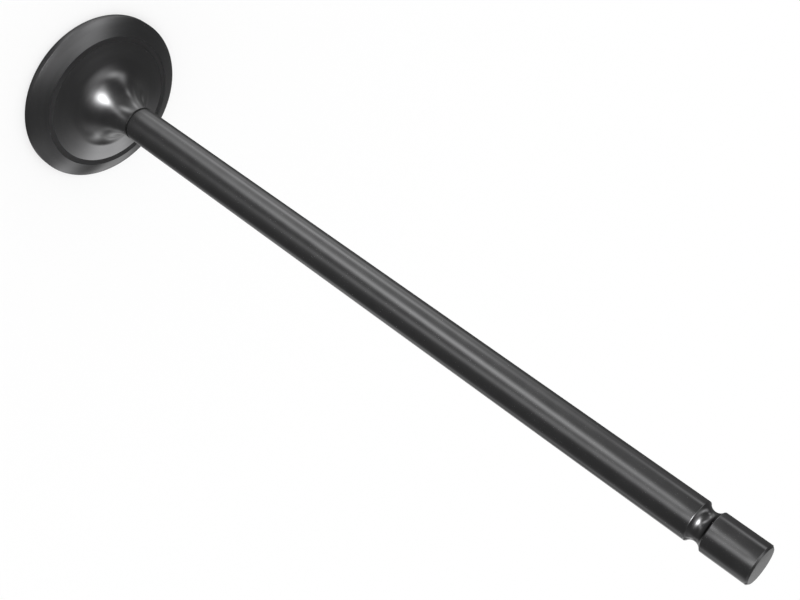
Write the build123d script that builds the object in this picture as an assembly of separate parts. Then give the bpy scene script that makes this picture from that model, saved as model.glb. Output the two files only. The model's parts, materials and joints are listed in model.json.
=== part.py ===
from build123d import *
from math import cos, radians, sin, tan
import os

# Poppet valve of a small four-valve petrol engine, forged and turned from one bar of steel.
# It stands on its combustion face: that face is z = 0, the stem rises along +Z, and Z is
# the axis that every surface is turned about. Millimetres and degrees.

# ---- stem -------------------------------------------------------------------------------
stem_dia = 5.5              # ground running diameter
overall_length = 125.65     # combustion face to tip
tip_chamfer = 0.25          # 45 degree break round the tip face

# ---- head -------------------------------------------------------------------------------
head_dia = 27.6
margin_height = 1.1         # plain rim between the combustion face and the seat
face_edge_radius = 0.15     # round on the edge of the combustion face
seat_angle = 30.0           # seat cone, measured from the plane of the face
seat_width = 2.6            # measured across the radius
ledge_width = 0.88          # flat turned step inside the seat
back_angle = 15.0           # back cone, measured from the plane of the face

# ---- flare from the back cone to the stem: two arcs, tangent to the cone, to each other
# ---- and to the stem ---------------------------------------------------------------------
back_fillet_radius = 5.0
neck_fillet_radius = 8.5
fillets_meet_angle = 45.0   # slope of the flare where the two arcs meet

# ---- grinding relief, the fine groove where the ground stem ends above the flare ----------
relief_land = 0.06          # plain stem left between the flare and the relief
relief_width = 0.4
relief_depth = 0.08

# ---- keeper groove, which the two collet halves grip --------------------------------------
groove_from_tip = 7.6       # tip to the middle of the groove
groove_depth = 0.64
groove_root_radius = 1.22
groove_flank_angle = 56.0   # flanks, measured from the stem's axis
groove_lip_radius = 0.18    # round where each flank meets the stem

# ---- sizes that follow --------------------------------------------------------------------
stem_radius = stem_dia / 2
head_radius = head_dia / 2
seat_top = margin_height + seat_width * tan(radians(seat_angle))
seat_inner_radius = head_radius - seat_width
ledge_inner_radius = seat_inner_radius - ledge_width


def head_outline():
    """Half outline of the rim, the seat and the ledge, from the axis outwards and back in."""
    face_edge = head_radius - face_edge_radius
    return [
        Line((0, 0), (face_edge, 0)),
        TangentArc((face_edge, 0), (head_radius, face_edge_radius), tangent=(1, 0)),
        Line((head_radius, face_edge_radius), (head_radius, margin_height)),
        Line((head_radius, margin_height), (seat_inner_radius, seat_top)),
        Line((seat_inner_radius, seat_top), (ledge_inner_radius, seat_top)),
    ]


def flare_outline():
    """Back cone and the two arcs that carry it up into the stem."""
    meet = radians(fillets_meet_angle)
    back = radians(back_angle)
    # Radii first, from the stem outwards, then heights, from the ledge up.
    meet_radius = stem_radius + neck_fillet_radius * (1 - sin(meet))
    cone_top_radius = meet_radius + back_fillet_radius * (sin(meet) - sin(back))
    cone_top = seat_top + (ledge_inner_radius - cone_top_radius) * tan(back)
    meet_height = cone_top + back_fillet_radius * (cos(back) - cos(meet))
    flare_top = meet_height + neck_fillet_radius * cos(meet)
    ledge_corner = (ledge_inner_radius, seat_top)
    cone_corner = (cone_top_radius, cone_top)
    meet_point = (meet_radius, meet_height)
    return [
        Line(ledge_corner, cone_corner),
        TangentArc(cone_corner, meet_point, tangent=(-cos(back), sin(back))),
        TangentArc(meet_point, (stem_radius, flare_top), tangent=(-cos(meet), sin(meet))),
    ]


def relief_outline(start):
    """Land above the flare, then the shallow round-bottomed relief."""
    low = (stem_radius, start + relief_land)
    bottom = (stem_radius - relief_depth, start + relief_land + relief_width / 2)
    high = (stem_radius, start + relief_land + relief_width)
    return [Line((stem_radius, start), low), ThreePointArc(low, bottom, high)]


def groove_outline():
    """Keeper groove from its stem side to its tip side: lip, flank, root, flank, lip."""
    flank = radians(groove_flank_angle)
    middle = overall_length - groove_from_tip
    root_bottom = stem_radius - groove_depth
    root_end_radius = root_bottom + groove_root_radius * (1 - cos(flank))
    root_half = groove_root_radius * sin(flank)
    edge_half = root_half + (stem_radius - root_end_radius) / tan(flank)
    # A lip's arc leaves the stem and the flank at the same distance from their corner.
    lip_length = groove_lip_radius * tan(flank / 2)
    lip_radius = stem_radius - lip_length * sin(flank)
    lip_half = edge_half - lip_length * cos(flank)
    stem_half = edge_half + lip_length
    return [
        TangentArc((stem_radius, middle - stem_half), (lip_radius, middle - lip_half), tangent=(0, 1)),
        Line((lip_radius, middle - lip_half), (root_end_radius, middle - root_half)),
        ThreePointArc(
            (root_end_radius, middle - root_half),
            (root_bottom, middle),
            (root_end_radius, middle + root_half),
        ),
        Line((root_end_radius, middle + root_half), (lip_radius, middle + lip_half)),
        TangentArc(
            (lip_radius, middle + lip_half),
            (stem_radius, middle + stem_half),
            tangent=(sin(flank), cos(flank)),
        ),
    ]


def tip_outline(start):
    """Plain end of the stem above the groove, its chamfer and the flat tip face."""
    chamfer_low = (stem_radius, overall_length - tip_chamfer)
    chamfer_high = (stem_radius - tip_chamfer, overall_length)
    return [
        Line((stem_radius, start), chamfer_low),
        Line(chamfer_low, chamfer_high),
        Line(chamfer_high, (0, overall_length)),
    ]


def valve():
    """The whole valve, its half outline turned once round the axis."""
    outline = head_outline() + flare_outline()
    outline += relief_outline((outline[-1] @ 1).Y)
    groove = groove_outline()
    outline.append(Line(outline[-1] @ 1, groove[0] @ 0))
    outline += groove
    outline += tip_outline((groove[-1] @ 1).Y)
    outline.append(Line((0, overall_length), (0, 0)))
    half_section = Plane.XZ * make_face(outline)
    return revolve(half_section, axis=Axis.Z)


os.makedirs("parts", exist_ok=True)
export_step(valve(), "parts/valve.step")
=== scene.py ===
import json
from math import cos, pi, radians, sin, sqrt, tan

import bpy
from mathutils import Matrix, Vector


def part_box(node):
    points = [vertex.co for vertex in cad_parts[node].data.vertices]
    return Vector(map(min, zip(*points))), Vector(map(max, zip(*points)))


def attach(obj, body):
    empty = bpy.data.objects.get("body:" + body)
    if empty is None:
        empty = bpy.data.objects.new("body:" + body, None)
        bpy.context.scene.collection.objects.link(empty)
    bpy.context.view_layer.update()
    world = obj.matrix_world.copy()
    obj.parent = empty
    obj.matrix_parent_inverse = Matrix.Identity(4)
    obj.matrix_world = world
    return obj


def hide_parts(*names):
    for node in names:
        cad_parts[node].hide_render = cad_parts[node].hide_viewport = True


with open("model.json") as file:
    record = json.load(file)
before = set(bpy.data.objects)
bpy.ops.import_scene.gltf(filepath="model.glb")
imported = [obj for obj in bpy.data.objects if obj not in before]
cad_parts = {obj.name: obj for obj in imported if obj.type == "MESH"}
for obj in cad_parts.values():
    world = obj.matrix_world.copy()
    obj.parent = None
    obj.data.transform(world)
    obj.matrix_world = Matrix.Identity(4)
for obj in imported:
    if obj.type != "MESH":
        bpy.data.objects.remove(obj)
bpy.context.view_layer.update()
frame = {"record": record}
mm = 0.001

# ---- Combustion face and rim --------------------------------------------------------------------
# The flat underside of the head, which closes the cylinder, and the plain rim above it. Both are
# faced and turned on the forging, so fine rings run round them. The valve stands on this face.
head_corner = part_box("valve")[1]
head_radius = head_corner.x
overall_length = head_corner.z
margin_height = 1.1 * mm
face_edge_radius = 0.15 * mm
edge_break = 0.02 * mm
mark_detail = 2.0
# Patches of haze to the metre.
haze_scale = 90.0
haze_detail = 3.0
# What the bands, and the bands times the haze, keep between on most of a surface.
band_spread = (0.3, 0.7)
haze_spread = (0.15, 0.4)

# The half outline, as (radius, height, round at the corner), from the middle of the face upwards.
outline = [
    (0, 0, 0),
    (head_radius, 0, face_edge_radius),
    (head_radius, margin_height, edge_break),
]


def add_node(tree, kind, inputs=(), **settings):
    """A node of that kind, with its settings, and its inputs by name or number.

    An input is given as a plain value, or as the socket that feeds it.
    """
    node = tree.nodes.new(kind)
    for name, value in settings.items():
        setattr(node, name, value)
    for name, value in dict(inputs).items():
        if isinstance(value, bpy.types.NodeSocket):
            tree.links.new(value, node.inputs[name])
        else:
            node.inputs[name].default_value = value
    return node


def build_tool_marks():
    """Group for the marks that a tool or a wheel leaves as the part turns about Z."""
    tree = bpy.data.node_groups.new("tool_marks", "ShaderNodeTree")
    sockets = tree.interface
    sockets.new_socket("Point", in_out="INPUT", socket_type="NodeSocketVector")
    for name in ("Pitch", "Radius Share", "Reach Round", "Band Width"):
        sockets.new_socket(name, in_out="INPUT", socket_type="NodeSocketFloat")
    sockets.new_socket("Height", in_out="OUTPUT", socket_type="NodeSocketFloat")
    sockets.new_socket("Bands", in_out="OUTPUT", socket_type="NodeSocketFloat")
    given = tree.nodes.new("NodeGroupInput")
    result = tree.nodes.new("NodeGroupOutput")

    # Along the outline the marks change quickly, and round the part they change slowly.
    flat = add_node(
        tree,
        "ShaderNodeVectorMath",
        {0: given.outputs["Point"], 1: (1, 1, 0)},
        operation="MULTIPLY",
    )
    radius = add_node(tree, "ShaderNodeVectorMath", {0: flat.outputs[0]}, operation="LENGTH")
    heading = add_node(tree, "ShaderNodeVectorMath", {0: flat.outputs[0]}, operation="NORMALIZE")
    sweep = add_node(tree, "ShaderNodeVectorMath", {0: heading.outputs[0]}, operation="SCALE")
    tree.links.new(given.outputs["Reach Round"], sweep.inputs["Scale"])
    parts = add_node(tree, "ShaderNodeSeparateXYZ", {0: given.outputs["Point"]})
    around = add_node(tree, "ShaderNodeSeparateXYZ", {0: sweep.outputs[0]})
    along = add_node(
        tree,
        "ShaderNodeMath",
        {0: radius.outputs["Value"], 1: given.outputs["Radius Share"], 2: parts.outputs["Z"]},
        operation="MULTIPLY_ADD",
    )
    for output, step in (("Height", "Pitch"), ("Bands", "Band Width")):
        row = add_node(
            tree,
            "ShaderNodeMath",
            {0: along.outputs[0], 1: given.outputs[step]},
            operation="DIVIDE",
        )
        place = add_node(
            tree,
            "ShaderNodeCombineXYZ",
            {"X": around.outputs["X"], "Y": around.outputs["Y"], "Z": row.outputs[0]},
        )
        grain = add_node(
            tree,
            "ShaderNodeTexNoise",
            {"Vector": place.outputs[0], "Scale": 1.0, "Detail": mark_detail},
        )
        tree.links.new(grain.outputs["Fac"], result.inputs[output])
    return tree


tool_marks = build_tool_marks()


def steel(name, dark, light, rough, pitch, radius_share, reach, band, depth):
    """Dark steel, as a tool, a grinding wheel or a polisher leaves it.

    rough is the least and the most roughness. pitch and depth are the width and height of the marks,
    and band is the width of the faint bands of tint. A step outwards changes the marks as much as
    radius_share steps upwards, and reach is how quickly they change round the part.
    """
    material = bpy.data.materials.new(name)
    material.use_nodes = True
    tree = material.node_tree
    shader = tree.nodes["Principled BSDF"]
    shader.inputs["Metallic"].default_value = 1.0
    point = add_node(tree, "ShaderNodeTexCoord").outputs["Object"]
    marks = add_node(
        tree,
        "ShaderNodeGroup",
        {
            "Point": point,
            "Pitch": pitch,
            "Radius Share": radius_share,
            "Reach Round": reach,
            "Band Width": band,
        },
        node_tree=tool_marks,
    )
    haze = add_node(
        tree,
        "ShaderNodeTexNoise",
        {"Vector": point, "Scale": haze_scale, "Detail": haze_detail},
    )
    patch = add_node(
        tree,
        "ShaderNodeMath",
        {0: haze.outputs["Fac"], 1: marks.outputs["Bands"]},
        operation="MULTIPLY",
    )
    tint = add_node(
        tree,
        "ShaderNodeMapRange",
        {
            "Value": marks.outputs["Bands"],
            "From Min": band_spread[0],
            "From Max": band_spread[1],
        },
    )
    colour = add_node(
        tree,
        "ShaderNodeMix",
        {"Factor": tint.outputs["Result"], 6: dark, 7: light},
        data_type="RGBA",
    )
    gloss = add_node(
        tree,
        "ShaderNodeMapRange",
        {
            "Value": patch.outputs[0],
            "From Min": haze_spread[0],
            "From Max": haze_spread[1],
            "To Min": rough[0],
            "To Max": rough[1],
        },
    )
    bump = add_node(
        tree,
        "ShaderNodeBump",
        {"Height": marks.outputs["Height"], "Strength": 1.0, "Distance": depth},
    )
    tree.links.new(colour.outputs[2], shader.inputs["Base Color"])
    tree.links.new(gloss.outputs["Result"], shader.inputs["Roughness"])
    tree.links.new(bump.outputs["Normal"], shader.inputs["Normal"])
    return material


turned_face = steel(
    "turned_face",
    dark=(0.135, 0.135, 0.138, 1),
    light=(0.16, 0.16, 0.163, 1),
    rough=(0.16, 0.26),
    pitch=0.12 * mm,
    radius_share=-1.0,
    reach=0.6,
    band=1.6 * mm,
    depth=0.0025 * mm,
)

# ---- Seat ---------------------------------------------------------------------------------------
# The cone that seals against the ring in the cylinder head. It is ground at 30 degrees to the face,
# which leaves it smoother than the turned rim.
seat_angle = radians(30)
seat_width = 2.6 * mm
seat_inner_radius = head_radius - seat_width
seat_top = margin_height + seat_width * tan(seat_angle)
outline.append((seat_inner_radius, seat_top, edge_break))
ground_seat = steel(
    "ground_seat",
    dark=(0.14, 0.14, 0.142, 1),
    light=(0.16, 0.16, 0.163, 1),
    rough=(0.15, 0.21),
    pitch=0.1 * mm,
    radius_share=-1.0,
    reach=1.5,
    band=1.2 * mm,
    depth=0.0008 * mm,
)

# ---- Back of the head and flare -----------------------------------------------------------------
# A flat turned ledge inside the seat, a shallow back cone, and the flare that carries the head up
# into the stem in two arcs. The flare is polished, so that gas runs over it freely.
ledge_width = 0.88 * mm
ledge_corner_radius = 0.05 * mm
back_angle = radians(15)
back_fillet_radius = 5.0 * mm
neck_fillet_radius = 8.5 * mm
fillets_meet_angle = radians(45)
stem_radius = frame["record"]["mounts"][0]["dims"]["r_mm"] * mm
ledge_inner_radius = seat_inner_radius - ledge_width
meet_radius = stem_radius + neck_fillet_radius * (1 - sin(fillets_meet_angle))
cone_top_radius = meet_radius + back_fillet_radius * (sin(fillets_meet_angle) - sin(back_angle))
cone_top = seat_top + (ledge_inner_radius - cone_top_radius) * tan(back_angle)
meet_height = cone_top + back_fillet_radius * (cos(back_angle) - cos(fillets_meet_angle))
flare_top = meet_height + neck_fillet_radius * cos(fillets_meet_angle)
# Each arc is the round on the corner where its two tangents cross.
back_tangent = back_fillet_radius * tan((fillets_meet_angle - back_angle) / 2)
neck_tangent = neck_fillet_radius * tan((pi / 2 - fillets_meet_angle) / 2)
outline += [
    (ledge_inner_radius, seat_top, ledge_corner_radius),
    (
        cone_top_radius - back_tangent * cos(back_angle),
        cone_top + back_tangent * sin(back_angle),
        back_fillet_radius,
    ),
    (stem_radius, flare_top - neck_tangent, neck_fillet_radius),
]
polished_back = steel(
    "polished_back",
    dark=(0.14, 0.14, 0.142, 1),
    light=(0.158, 0.158, 0.16, 1),
    rough=(0.13, 0.2),
    pitch=0.16 * mm,
    radius_share=-1.0,
    reach=1.2,
    band=1.8 * mm,
    depth=0.0006 * mm,
)

# The ledge is left as the tool cut it, so it is duller than the cone beside it.
turned_ledge = steel(
    "turned_ledge",
    dark=(0.088, 0.088, 0.09, 1),
    light=(0.1, 0.1, 0.102, 1),
    rough=(0.4, 0.5),
    pitch=0.12 * mm,
    radius_share=-1.0,
    reach=0.8,
    band=0.5 * mm,
    depth=0.0006 * mm,
)

# ---- Stem and grinding relief -------------------------------------------------------------------
# The stem slides in the valve guide, so it is ground round and true for its whole length. A fine
# groove above the flare gives the grinding wheel room to run out.
relief_land = 0.06 * mm
relief_width = 0.4 * mm
relief_depth = 0.08 * mm
relief_half = relief_width / 2
relief_radius = (relief_half**2 + relief_depth**2) / (2 * relief_depth)
relief_low = flare_top + relief_land
# The relief's tangents cross below its bottom. Its round is cut a little short of its true radius,
# which leaves room for the rounds on the two brinks.
relief_tangent_depth = relief_half**2 / sqrt(relief_radius**2 - relief_half**2)
relief_round = 0.95 * relief_radius
brink_round = 0.015 * mm
outline += [
    (stem_radius, relief_low, brink_round),
    (stem_radius - relief_tangent_depth, relief_low + relief_half, relief_round),
    (stem_radius, relief_low + relief_width, brink_round),
]
ground_stem = steel(
    "ground_stem",
    dark=(0.14, 0.14, 0.142, 1),
    light=(0.158, 0.158, 0.16, 1),
    rough=(0.14, 0.2),
    pitch=0.13 * mm,
    radius_share=0.0,
    reach=2.0,
    band=2.5 * mm,
    depth=0.0006 * mm,
)

# The wheel misses the relief and the fine land below it, so they are left dull. Their near-black
# colour is painted shade, for the shadow that falls in the hollow of the relief.
relief_painted_shade = steel(
    "relief_painted_shade",
    dark=(0.02, 0.02, 0.02, 1),
    light=(0.035, 0.035, 0.035, 1),
    rough=(0.45, 0.6),
    pitch=0.05 * mm,
    radius_share=0.0,
    reach=1.0,
    band=0.3 * mm,
    depth=0.0006 * mm,
)

# ---- Keeper groove ------------------------------------------------------------------------------
# The round-bottomed groove that the two collet halves grip, to hold the spring retainer. It is
# turned with a form tool, and its brinks are rounded over so that they don't cut the collets.
groove_from_tip = 7.6 * mm
groove_depth = 0.64 * mm
groove_root_radius = 1.22 * mm
groove_flank_angle = radians(56)
groove_lip_radius = 0.18 * mm
groove_middle = overall_length - groove_from_tip
root_end_radius = stem_radius - groove_depth + groove_root_radius * (1 - cos(groove_flank_angle))
groove_half = groove_root_radius * sin(groove_flank_angle)
groove_half += (stem_radius - root_end_radius) / tan(groove_flank_angle)
outline += [
    (stem_radius, groove_middle - groove_half, groove_lip_radius),
    (stem_radius - groove_half * tan(groove_flank_angle), groove_middle, groove_root_radius),
    (stem_radius, groove_middle + groove_half, groove_lip_radius),
]
turned_groove = steel(
    "turned_groove",
    dark=(0.14, 0.14, 0.142, 1),
    light=(0.17, 0.17, 0.172, 1),
    rough=(0.11, 0.17),
    pitch=0.09 * mm,
    radius_share=0.0,
    reach=1.0,
    band=0.8 * mm,
    depth=0.0006 * mm,
)

# ---- Tip ----------------------------------------------------------------------------------------
# The flat end that the cam follower pushes on. It is hardened and ground square to the stem, and a
# small chamfer lets the stem seal and the collets slide on over it.
tip_chamfer = 0.25 * mm
chamfer_break = 0.02 * mm
outline += [
    (stem_radius, overall_length - tip_chamfer, chamfer_break),
    (stem_radius - tip_chamfer, overall_length, chamfer_break),
    (0, overall_length, 0),
]
ground_tip = steel(
    "ground_tip",
    dark=(0.15, 0.15, 0.152, 1),
    light=(0.17, 0.17, 0.172, 1),
    rough=(0.2, 0.26),
    pitch=0.1 * mm,
    radius_share=-1.0,
    reach=1.0,
    band=0.9 * mm,
    depth=0.0006 * mm,
)

# ---- The valve turned from its outline ----------------------------------------------------------
# One forging of valve steel, turned about its axis. The outline's corners are rounded, its long
# runs are cut into even faces, and the whole is swept once round. Each finish takes its own band
# of height.
steps_round = 256
longest_face = 1.5 * mm
guide_radius = 20 * mm
weld_distance = 0.0004 * mm
# A larger round gets more steps. One of 1 mm gets this many, and none gets fewer than four.
steps_for_1_mm = 16
fewest_steps = 4
# A flat face is caught by a band of heights that reaches this far above and below it.
level = 0.001 * mm
# Each finish, with the height that it starts at and the height that it ends below.
finishes = [
    (turned_face, -level, margin_height),
    (ground_seat, margin_height, seat_top - level),
    (polished_back, seat_top - level, flare_top),
    (turned_ledge, seat_top - level, seat_top + level),
    (ground_stem, flare_top, overall_length - level),
    # The relief and its land take the painted shade.
    (relief_painted_shade, flare_top, relief_low + relief_width),
    (turned_groove, groove_middle - groove_half, groove_middle + groove_half),
    (ground_tip, overall_length - level, overall_length + level),
]


def build_lathe():
    """Tree that turns an outline, drawn with radius along X and height along Y, about Z."""
    tree = bpy.data.node_groups.new("lathe", "GeometryNodeTree")
    sockets = tree.interface
    sockets.new_socket("Outline", in_out="INPUT", socket_type="NodeSocketGeometry")
    sockets.new_socket("Steps Round", in_out="INPUT", socket_type="NodeSocketInt")
    for name in ("Longest Face", "Guide Radius", "Weld Distance"):
        sockets.new_socket(name, in_out="INPUT", socket_type="NodeSocketFloat")
    sockets.new_socket("Turned", in_out="OUTPUT", socket_type="NodeSocketGeometry")
    given = tree.nodes.new("NodeGroupInput")
    result = tree.nodes.new("NodeGroupOutput")

    # Round the corners.
    curve = add_node(tree, "GeometryNodeMeshToCurve", {"Mesh": given.outputs["Outline"]})
    corner_round = add_node(
        tree,
        "GeometryNodeInputNamedAttribute",
        {"Name": "corner_round"},
        data_type="FLOAT",
    )
    corner_steps = add_node(
        tree,
        "GeometryNodeInputNamedAttribute",
        {"Name": "corner_steps"},
        data_type="INT",
    )
    rounded = add_node(
        tree,
        "GeometryNodeFilletCurve",
        {
            "Curve": curve.outputs[0],
            "Radius": corner_round.outputs["Attribute"],
            "Count": corner_steps.outputs["Attribute"],
            "Limit Radius": True,
        },
        mode="POLY",
    )

    # Cut each long run into even lengths, going by the distance to the next point.
    here = add_node(tree, "GeometryNodeInputPosition")
    index = add_node(tree, "GeometryNodeInputIndex")
    next_index = add_node(tree, "ShaderNodeMath", {0: index.outputs[0], 1: 1.0}, operation="ADD")
    there = add_node(
        tree,
        "GeometryNodeFieldAtIndex",
        {"Index": next_index.outputs[0], "Value": here.outputs[0]},
        data_type="FLOAT_VECTOR",
        domain="POINT",
    )
    run = add_node(
        tree,
        "ShaderNodeVectorMath",
        {0: here.outputs[0], 1: there.outputs[0]},
        operation="DISTANCE",
    )
    cuts = add_node(
        tree,
        "ShaderNodeMath",
        {0: run.outputs["Value"], 1: given.outputs["Longest Face"]},
        operation="DIVIDE",
    )
    even = add_node(
        tree,
        "GeometryNodeSubdivideCurve",
        {"Curve": rounded.outputs[0], "Cuts": cuts.outputs[0]},
    )

    # Sweep it round a guide circle, moved in by that circle's own radius. The sweep carries Y down,
    # so the outline is turned over first.
    inward = add_node(
        tree,
        "ShaderNodeMath",
        {0: given.outputs["Guide Radius"], 1: -1.0},
        operation="MULTIPLY",
    )
    shift = add_node(tree, "ShaderNodeCombineXYZ", {"X": inward.outputs[0]})
    profile = add_node(
        tree,
        "GeometryNodeTransform",
        {"Geometry": even.outputs[0], "Translation": shift.outputs[0], "Scale": (1, -1, 1)},
    )
    circle = add_node(
        tree,
        "GeometryNodeCurvePrimitiveCircle",
        {"Resolution": given.outputs["Steps Round"], "Radius": given.outputs["Guide Radius"]},
        mode="RADIUS",
    )
    upright = add_node(
        tree,
        "GeometryNodeSetCurveNormal",
        {"Curve": circle.outputs[0]},
        mode="Z_UP",
    )
    swept = add_node(
        tree,
        "GeometryNodeCurveToMesh",
        {"Curve": upright.outputs[0], "Profile Curve": profile.outputs[0]},
    )
    welded = add_node(
        tree,
        "GeometryNodeMergeByDistance",
        {"Geometry": swept.outputs[0], "Distance": given.outputs["Weld Distance"]},
    )
    outward = add_node(tree, "GeometryNodeFlipFaces", {"Mesh": welded.outputs[0]})
    smooth = add_node(tree, "GeometryNodeSetShadeSmooth", {"Geometry": outward.outputs[0]})

    # Give each band of height its finish. A later band overrules an earlier one.
    turned = add_node(tree, "GeometryNodeRealizeInstances", {"Geometry": smooth.outputs[0]}).outputs[0]
    height = add_node(tree, "ShaderNodeSeparateXYZ", {0: here.outputs[0]}).outputs["Z"]
    for material, low, high in finishes:
        above = add_node(tree, "FunctionNodeCompare", {0: height, 1: low}, operation="GREATER_EQUAL")
        below = add_node(tree, "FunctionNodeCompare", {0: height, 1: high}, operation="LESS_THAN")
        within = add_node(
            tree,
            "FunctionNodeBooleanMath",
            {0: above.outputs[0], 1: below.outputs[0]},
            operation="AND",
        )
        turned = add_node(
            tree,
            "GeometryNodeSetMaterial",
            {"Geometry": turned, "Selection": within.outputs[0], "Material": material},
        ).outputs[0]
    tree.links.new(turned, result.inputs["Turned"])
    return tree


blank = bpy.data.meshes.new("poppet_valve_outline")
blank.from_pydata(
    [(radius, height, 0) for radius, height, corner in outline],
    [(i, i + 1) for i in range(len(outline) - 1)],
    [],
)
corner_round = blank.attributes.new("corner_round", "FLOAT", "POINT")
corner_steps = blank.attributes.new("corner_steps", "INT", "POINT")
for i, (radius, height, corner) in enumerate(outline):
    corner_round.data[i].value = corner
    corner_steps.data[i].value = max(fewest_steps, round(steps_for_1_mm * sqrt(corner / mm)))

valve = bpy.data.objects.new("poppet_valve", blank)
bpy.context.scene.collection.objects.link(valve)
lathe = valve.modifiers.new("lathe", "NODES")
lathe.node_group = build_lathe()
sizes = {
    "Steps Round": steps_round,
    "Longest Face": longest_face,
    "Guide Radius": guide_radius,
    "Weld Distance": weld_distance,
}
for item in lathe.node_group.interface.items_tree:
    if item.name in sizes:
        lathe[item.identifier] = sizes[item.name]
# Small rounds then shade as rounds, and the flats beside them stay flat.
valve.modifiers.new("flat_runs", "WEIGHTED_NORMAL")
bpy.context.view_layer.update()
finished = valve.evaluated_get(bpy.context.evaluated_depsgraph_get())
turned_mesh = bpy.data.meshes.new_from_object(finished)
valve.modifiers.clear()
valve.data = turned_mesh
turned_mesh.name = "poppet_valve"
# The lathe leaves an empty material slot in front of the finishes.
turned_mesh.materials.pop(index=0)
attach(valve, "root")
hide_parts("valve")
# It keeps out of its own mirror rays, which would lay dark patches on the flare and the stem.
valve.visible_glossy = False

# ---- Camera -------------------------------------------------------------------------------------
# A camera in front of the valve and above it, turned so that the stem runs down to the right. The
# whole valve is in view, with a little room round it.
camera_distance = 150.4 * mm
camera_height = 153.5 * mm
aim = Vector((-1.02 * mm, 0, 67.5 * mm))
roll = radians(125.26)
focal_length = 57.743
camera = bpy.data.objects.new("camera", bpy.data.cameras.new("camera"))
bpy.context.scene.collection.objects.link(camera)
camera.data.lens = focal_length
camera.data.sensor_width = 36
camera.data.clip_start = 1 * mm
camera.data.clip_end = 100
camera_place = Vector((0, -camera_distance, camera_height))
facing = (aim - camera_place).to_track_quat("-Z", "Y").to_matrix().to_4x4()
camera.matrix_world = Matrix.Translation(camera_place) @ facing @ Matrix.Rotation(roll, 4, "Z")
bpy.context.scene.camera = camera

# ---- Floor --------------------------------------------------------------------------------------
# A plain white table top. It is shown as white, and keeps part of the valve's soft shadow. Mirror
# rays pass through it, so that the polished steel shows the surround alone.
floor_radius = 12.0
floor_drop = 0.02 * mm
floor_steps = 96
floor_white = (1, 1, 1, 1)
# How much of the floor is shown as plain white. The rest takes light and shadow.
shown_white = 0.6


def white_floor():
    """Matt white that a camera sees partly as plain white, whatever light falls on it."""
    material = bpy.data.materials.new("white_floor")
    material.use_nodes = True
    tree = material.node_tree
    tree.nodes.clear()
    matt = add_node(tree, "ShaderNodeBsdfDiffuse", {"Color": floor_white})
    glow = add_node(tree, "ShaderNodeEmission", {"Color": floor_white, "Strength": 1.0})
    path = add_node(tree, "ShaderNodeLightPath").outputs
    seen = path["Is Camera Ray"]
    for ray in ("Is Glossy Ray", "Is Transmission Ray"):
        seen = add_node(tree, "ShaderNodeMath", {0: seen, 1: path[ray]}, operation="ADD").outputs[0]
    share = add_node(tree, "ShaderNodeMath", {0: seen, 1: shown_white}, operation="MULTIPLY")
    both = add_node(
        tree,
        "ShaderNodeMixShader",
        {0: share.outputs[0], 1: matt.outputs[0], 2: glow.outputs[0]},
    )
    add_node(tree, "ShaderNodeOutputMaterial", {"Surface": both.outputs[0]})
    return material


def build_floor():
    """Round table top, wide enough for its edge to be out of sight."""
    mesh = bpy.data.meshes.new("floor")
    turns = [2 * pi * i / floor_steps for i in range(floor_steps)]
    rim = [(floor_radius * cos(turn), floor_radius * sin(turn), -floor_drop) for turn in turns]
    mesh.from_pydata(rim, [], [range(floor_steps)])
    mesh.materials.append(white_floor())
    floor = bpy.data.objects.new("floor", mesh)
    bpy.context.scene.collection.objects.link(floor)
    floor.visible_glossy = False


build_floor()

# ---- Light --------------------------------------------------------------------------------------
# Even white light from all round, at a plain level. Polished steel shows only what it mirrors, so
# its mirror rays find a dark tent instead, lit from outside by soft lamps that fade at their edges.
tent_level = 0.165
# How far back from its middle a lamp reaches, on a globe of radius 1. The far side then stays dark.
lamp_reach = 0.3
# Degrees round from +X to the camera's side, which is -Y.
camera_side = -90
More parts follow.
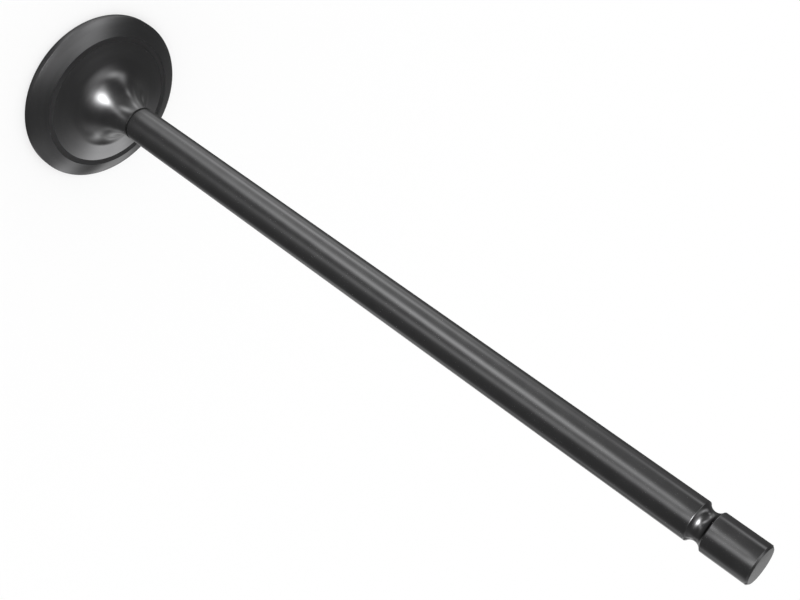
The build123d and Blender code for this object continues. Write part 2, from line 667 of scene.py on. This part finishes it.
# Each lamp: direction from the camera's side round to the right, and up, then half width, half
# height and lean to the left, all in degrees, and how bright it is.
lamps = [
    # Main lamp, above the camera, and the weak light round it.
    (2, 31, 11, 8, 0, 8.0),
    (4, 20, 8, 8, 0, 6.5),
    (8, 29, 18, 14, 0, 1.5),
    (8, 53, 10, 5, 0, 0.4),
    (9, 0, 8, 11, 0, 0.72),
    (-27, 41, 7, 7, 0, 0.6),
    (-14, 6, 34, 45, 0, 0.15),
    # Left side and overhead.
    (-97, 23, 7.5, 8.5, -15, 0.9),
    (-84, 42, 6.5, 10, -35, 1.4),
    (-74, 64, 12, 10, 0, 0.65),
    (0, 62, 14, 8, 0, 0.4),
    (-45, 80, 14, 8, 0, 0.22),
    # Right side and back.
    (117, 14, 11, 18, 0, 0.32),
    (137, 0, 8, 7, 0, 0.92),
    (142, 3, 4, 7, 0, 0.25),
    (142, 14, 5, 8, 0, 0.65),
    (148, 38, 8, 10, 0, 0.35),
    (163, 25, 3.5, 8, 40, 2.1),
    (171, 12, 3.5, 9, 0, 1.1),
    (167, -2, 4.5, 8, 0, 0.4),
    (-177, 10, 6, 6, 0, 0.3),
    # Low down, in front and to the left.
    (-60, -28, 60, 18, 0, 0.12),
    (-22, -26, 14, 6, 42, 1.6),
    (17, -10, 8, 7, 20, 0.58),
    (24, -26, 7, 8, 20, 0.5),
    (30, -38, 16, 10, 0, 0.12),
    (-52, -42, 12, 6, 0, 0.34),
    (-60, -28, 9, 8, 0, 0.2),
    (-80, -34, 6, 7, 0, 1.2),
    (-90, -8, 5.5, 6, 0, 0.9),
    (-90, -45, 22, 5, 0, 0.25),
    (-98, -31, 12, 9, 0, 0.45),
    (-113, -31, 5, 10, 25, 0.35),
    # Low down, to the right and behind.
    (118, -13, 7, 6, 0, 0.22),
    (121, -18, 4, 5, 0, 0.2),
    (128, -31, 7, 6, 0, 0.42),
    (155, -12, 7, 6, 0, 0.4),
    (162, -9, 2.5, 4, 0, 0.45),
    (170, -13, 3, 4, 0, 0.35),
    (154, -37, 9, 8, 0, 0.3),
    (160, -26, 9, 5, 0, 0.28),
    # The dark behind to the left and underneath, which takes light away.
    (-160, -27, 9, 10, 0, -0.08),
    (180, -70, 30, 18, 0, -0.16),
]


def build_soft_lamp():
    """Group that is 1 in the middle of a soft-edged spot of directions and fades to 0 round it."""
    tree = bpy.data.node_groups.new("soft_lamp", "ShaderNodeTree")
    sockets = tree.interface
    for name in ("Direction", "Turn", "Size"):
        sockets.new_socket(name, in_out="INPUT", socket_type="NodeSocketVector")
    sockets.new_socket("Brightness", in_out="INPUT", socket_type="NodeSocketFloat")
    sockets.new_socket("Light", in_out="OUTPUT", socket_type="NodeSocketFloat")
    given = tree.nodes.new("NodeGroupInput").outputs
    result = tree.nodes.new("NodeGroupOutput")
    turned = add_node(
        tree,
        "ShaderNodeVectorRotate",
        {"Vector": given["Direction"], "Rotation": given["Turn"]},
        rotation_type="EULER_XYZ",
        invert=True,
    ).outputs[0]
    aside = add_node(
        tree,
        "ShaderNodeVectorMath",
        {0: turned, 1: (1, 0, 0)},
        operation="SUBTRACT",
    ).outputs[0]
    off = add_node(
        tree,
        "ShaderNodeVectorMath",
        {0: aside, 1: given["Size"]},
        operation="DIVIDE",
    ).outputs[0]
    spread = add_node(
        tree,
        "ShaderNodeVectorMath",
        {0: off, 1: off},
        operation="DOT_PRODUCT",
    ).outputs["Value"]
    # A bell curve: e to the power of minus half the squared distance, in half widths.
    fall = add_node(tree, "ShaderNodeMath", {0: spread, 1: -0.5}, operation="MULTIPLY").outputs[0]
    bell = add_node(tree, "ShaderNodeMath", {0: fall}, operation="EXPONENT").outputs[0]
    light = add_node(
        tree,
        "ShaderNodeMath",
        {0: bell, 1: given["Brightness"]},
        operation="MULTIPLY",
    )
    tree.links.new(light.outputs[0], result.inputs["Light"])
    return tree


def build_surround():
    """World that is plain white, but shows mirror rays the tent and its lamps."""
    world = bpy.data.worlds.new("surround")
    bpy.context.scene.world = world
    world.use_nodes = True
    tree = world.node_tree
    direction = add_node(tree, "ShaderNodeTexCoord").outputs["Generated"]
    soft_lamp = build_soft_lamp()
    mirrored = add_node(tree, "ShaderNodeValue").outputs[0]
    mirrored.default_value = tent_level
    for azimuth, elevation, half_width, half_height, lean, brightness in lamps:
        turn = (radians(lean), -radians(elevation), radians(azimuth + camera_side))
        size = (lamp_reach, sin(radians(half_width)), sin(radians(half_height)))
        lamp = add_node(
            tree,
            "ShaderNodeGroup",
            {"Direction": direction, "Turn": turn, "Size": size, "Brightness": brightness},
            node_tree=soft_lamp,
        )
        added = add_node(tree, "ShaderNodeMath", {0: mirrored, 1: lamp.outputs[0]}, operation="ADD")
        mirrored = added.outputs[0]
    is_mirror_ray = add_node(tree, "ShaderNodeLightPath").outputs["Is Glossy Ray"]
    strength = add_node(tree, "ShaderNodeMix", {"Factor": is_mirror_ray, "A": 1.0, "B": mirrored})
    background = tree.nodes["Background"]
    background.inputs["Color"].default_value = (1, 1, 1, 1)
    tree.links.new(strength.outputs["Result"], background.inputs["Strength"])
    # Each ray then meets the surround for itself, as the kind of ray that it is.
    world.cycles.sampling_method = "NONE"


build_surround()

bpy.context.scene.view_settings.view_transform = "Standard"
